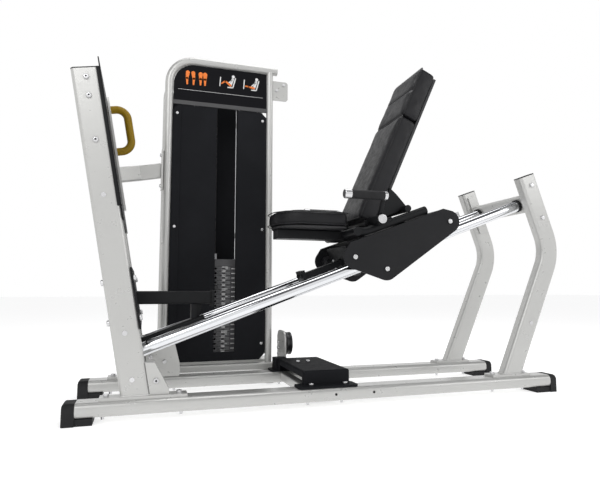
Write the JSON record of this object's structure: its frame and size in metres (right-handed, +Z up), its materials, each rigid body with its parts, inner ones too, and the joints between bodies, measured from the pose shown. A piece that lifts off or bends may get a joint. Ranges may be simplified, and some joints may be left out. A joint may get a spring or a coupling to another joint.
{
  "type": "leg press machine",
  "caption": "Seated leg press with a seat carriage on inclined guide rails, a fixed footplate, side grips and a pin-selected weight stack in a shrouded tower.",
  "frame": {"origin": "centre of the machine's footprint, on the floor", "axes": "+X from the footplate to the rear legs, -Y the side without the tower, +Z up"},
  "size_m": [2.0916, 0.8939, 1.5915],
  "materials": {
    "frame_paint": "satin silver-white powder coat",
    "black_paint": "satin black powder coat",
    "rubber": "matt",
    "vinyl": "fine-grained vinyl",
    "board": "matt",
    "handle_paint": "mustard coat",
    "chrome": "polished",
    "bolt_steel": "zinc plated",
    "shroud": "satin dark grey",
    "placard": "printed panel",
    "grey_trim": "matt",
    "stack_paint": "black",
    "steel": "ground",
    "cable": "nylon coated",
    "label": "printed",
    "roller": "moulded",
    "knob": "moulded"
  },
  "bodies": {
    "frame": {"base_fasteners": "bolt_steel", "base_plates": "frame_paint", "base_rail_far": "frame_paint", "base_rail_near": "frame_paint", "entry_handle": "handle_paint", "footplate": "black_paint", "footplate_frame": "black_paint", "footplate_post_far": "frame_paint", "footplate_post_near": "frame_paint", "guide_rails": "chrome", "handle_bracket": "frame_paint", "housing_members": "frame_paint", "link_tube": "frame_paint", "lower_braces": "frame_paint", "placard": "placard", "placard_lip": "grey_trim", "plate_labels": "label", "post_bolts": "bolt_steel", "pulley_housing": "shroud", "rear_crossbar": "frame_paint", "rear_leg_far": "frame_paint", "rear_leg_near": "frame_paint", "rubber_feet": "rubber", "shroud_front": "shroud", "shroud_rear": "shroud", "stack_cable": "cable", "stack_guide_rods": "chrome", "stop_frame": "black_paint", "tower_base": "frame_paint", "tower_cable": "cable", "tower_fasteners": "bolt_steel", "tower_front": "frame_paint", "tower_rear": "frame_paint", "tower_ties": "frame_paint", "tube_caps": "black_paint", "weight_plates": "stack_paint"},
    "sled": {"sled_bar": "black_paint"},
    "carriage": {"carriage_plates": "black_paint", "carriage_frame": "black_paint", "roller_bolts": "bolt_steel", "seat_tubes": "black_paint", "seat_boards": "board", "seat_cushion": "vinyl", "back_cushion": "vinyl", "head_cushion": "vinyl", "back_brackets": "black_paint", "seat_cross_tubes": "black_paint", "hand_grips": "rubber", "grip_caps": "bolt_steel"},
    "front_rollers": {"rollers_front": "roller"},
    "under_rollers": {"rollers_under": "roller"},
    "rear_rollers": {"rollers_rear": "roller"},
    "stack": {"lifted_plates": "stack_paint", "selector_stem": "steel", "lifted_labels": "label"},
    "selector_pin": {"selector_pin": "knob"},
    "adjust_pin": {"adjust_pin": "knob"},
    "head_pulley_left": {"head_pulley_left": "roller"},
    "head_pulley_right": {"head_pulley_right": "roller"},
    "floor_pulley": {"floor_pulley": "roller"}
  },
  "joints": [
    {"name": "press_slide", "type": "slide", "parent": "frame", "child": "sled", "axis": [0.9397, 0, 0.342], "range_m": [0, 0.24]},
    {"name": "seat_adjust", "type": "slide", "parent": "sled", "child": "carriage", "axis": [0.9397, 0, 0.342], "range_m": [-0.18, 0]},
    {"name": "stack_lift", "type": "slide", "parent": "frame", "child": "stack", "axis": [0, 0, 1], "range_m": [0, 0.24], "deforming": ["stack_cable"]},
    {"name": "front_roller_spin", "type": "hinge", "parent": "carriage", "child": "front_rollers", "pos_m": [0.05562, -0.163, 0.58194], "axis": [0, 1, 0], "continuous": true},
    {"name": "under_roller_spin", "type": "hinge", "parent": "carriage", "child": "under_rollers", "pos_m": [0.20053, -0.163, 0.53465], "axis": [0, 1, 0], "continuous": true},
    {"name": "rear_roller_spin", "type": "hinge", "parent": "carriage", "child": "rear_rollers", "pos_m": [0.51231, -0.163, 0.74816], "axis": [0, 1, 0], "continuous": true},
    {"name": "head_pulley_left_spin", "type": "hinge", "parent": "frame", "child": "head_pulley_left", "pos_m": [-0.3843, 0.326, 1.508], "axis": [0, 1, 0], "continuous": true},
    {"name": "head_pulley_right_spin", "type": "hinge", "parent": "frame", "child": "head_pulley_right", "pos_m": [-0.2573, 0.326, 1.508], "axis": [0, 1, 0], "continuous": true},
    {"name": "floor_pulley_spin", "type": "hinge", "parent": "frame", "child": "floor_pulley", "pos_m": [-0.0983, 0.137, 0.187], "axis": [1, 0, 0], "continuous": true},
    {"name": "selector_pin_pull", "type": "slide", "parent": "stack", "child": "selector_pin", "axis": [0, -1, 0], "range_m": [0, 0.06]},
    {"name": "adjust_pin_pull", "type": "slide", "parent": "carriage", "child": "adjust_pin", "axis": [0.342, 0, -0.9397], "range_m": [0, 0.012], "stiffness_N_per_m": 1500, "springref_m": -0.004}
  ],
  "couplings": [
    {"joint": "stack_lift", "follows": "press_slide", "ratio": 1},
    {"joint": "front_roller_spin", "follows": "press_slide", "rad_per_m": 45.455},
    {"joint": "under_roller_spin", "follows": "press_slide", "rad_per_m": -45.455},
    {"joint": "rear_roller_spin", "follows": "press_slide", "rad_per_m": 45.455},
    {"joint": "head_pulley_left_spin", "follows": "press_slide", "rad_per_m": 20.833},
    {"joint": "head_pulley_right_spin", "follows": "press_slide", "rad_per_m": 20.833},
    {"joint": "floor_pulley_spin", "follows": "press_slide", "rad_per_m": 19.608}
  ]
}
